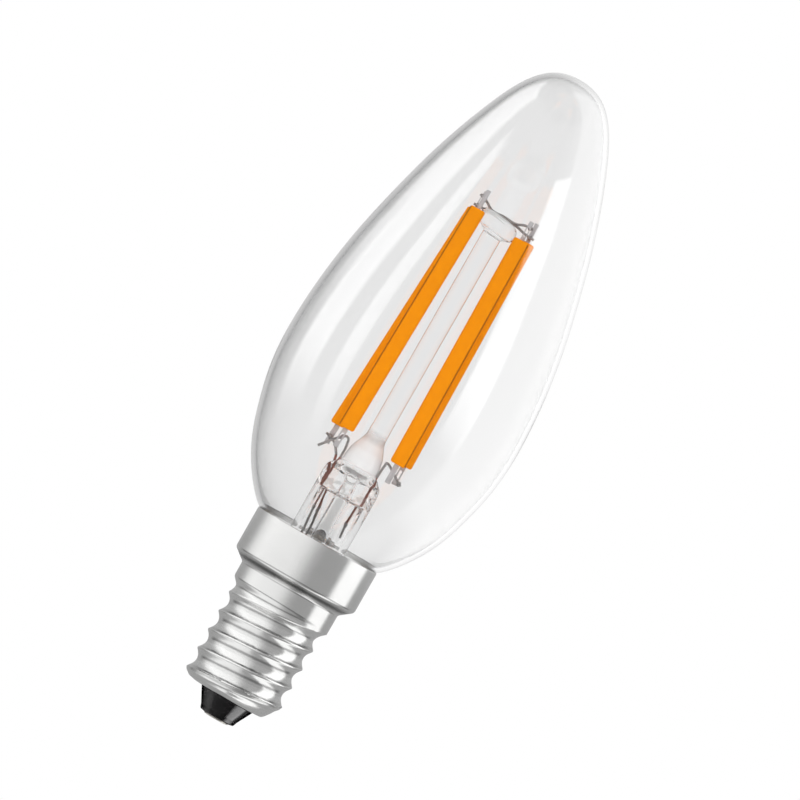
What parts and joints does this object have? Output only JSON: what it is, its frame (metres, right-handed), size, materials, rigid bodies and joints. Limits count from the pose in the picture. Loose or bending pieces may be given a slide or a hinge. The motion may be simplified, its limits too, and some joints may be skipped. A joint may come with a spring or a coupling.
{
  "type": "candle bulb",
  "caption": "Clear glass candle bulb with tall orange light-emitting filaments round a glass pillar, a pressed stem and a small metal screw cap.",
  "frame": {"origin": "middle of the underside of the centre contact, on the lamp's axis", "axes": "+Z along the axis from the cap to the tip of the glass; -Y is the side where the stem's exhaust hole looks out; -X is the side of the two mains leads"},
  "size_m": [0.035, 0.035, 0.098],
  "materials": {
    "clear_glass": "clear blown glass",
    "nickel_plate": "bright nickel plate on brass sheet",
    "contact_nickel": "bright nickel plate",
    "black_insulator": "glossy black moulding",
    "phosphor_coat": "orange phosphor in silicone",
    "tab_steel": "plain steel strip",
    "nickel_wire": "drawn nickel wire",
    "copper_clad_wire": "copper-clad seal wire",
    "basing_cement": "matt cement",
    "circuit_board": "lacquered board",
    "chip_mould": "moulded package",
    "capacitor_can": "drawn can",
    "resistor_coat": "lacquer coat"
  },
  "bodies": {
    "root": {"basing_cement": "basing_cement", "bridge_rectifier": "chip_mould", "cap_insulator": "black_insulator", "cap_shell": "nickel_plate", "centre_contact": "contact_nickel", "driver_board": "circuit_board", "driver_chip": "chip_mould", "exhaust_tube": "clear_glass", "filament_back_left": "phosphor_coat", "filament_back_right": "phosphor_coat", "filament_front_left": "phosphor_coat", "filament_front_right": "phosphor_coat", "fuse_resistor": "resistor_coat", "glass_envelope": "clear_glass", "glass_pillar": "clear_glass", "inner_lead_back_left": "nickel_wire", "inner_lead_front_left": "nickel_wire", "inner_lead_right": "nickel_wire", "live_wire": "nickel_wire", "lower_tab_back_left": "tab_steel", "lower_tab_back_right": "tab_steel", "lower_tab_front_left": "tab_steel", "lower_tab_front_right": "tab_steel", "neutral_wire": "nickel_wire", "outer_lead_back_left": "nickel_wire", "outer_lead_front_left": "nickel_wire", "outer_lead_right": "nickel_wire", "seal_wire_back_left": "copper_clad_wire", "seal_wire_front_left": "copper_clad_wire", "seal_wire_right": "copper_clad_wire", "smoothing_capacitor": "capacitor_can", "stem_flare": "clear_glass", "top_wire_back": "nickel_wire", "top_wire_front": "nickel_wire", "upper_tab_back_left": "tab_steel", "upper_tab_back_right": "tab_steel", "upper_tab_front_left": "tab_steel", "upper_tab_front_right": "tab_steel"}
  },
  "joints": []
}
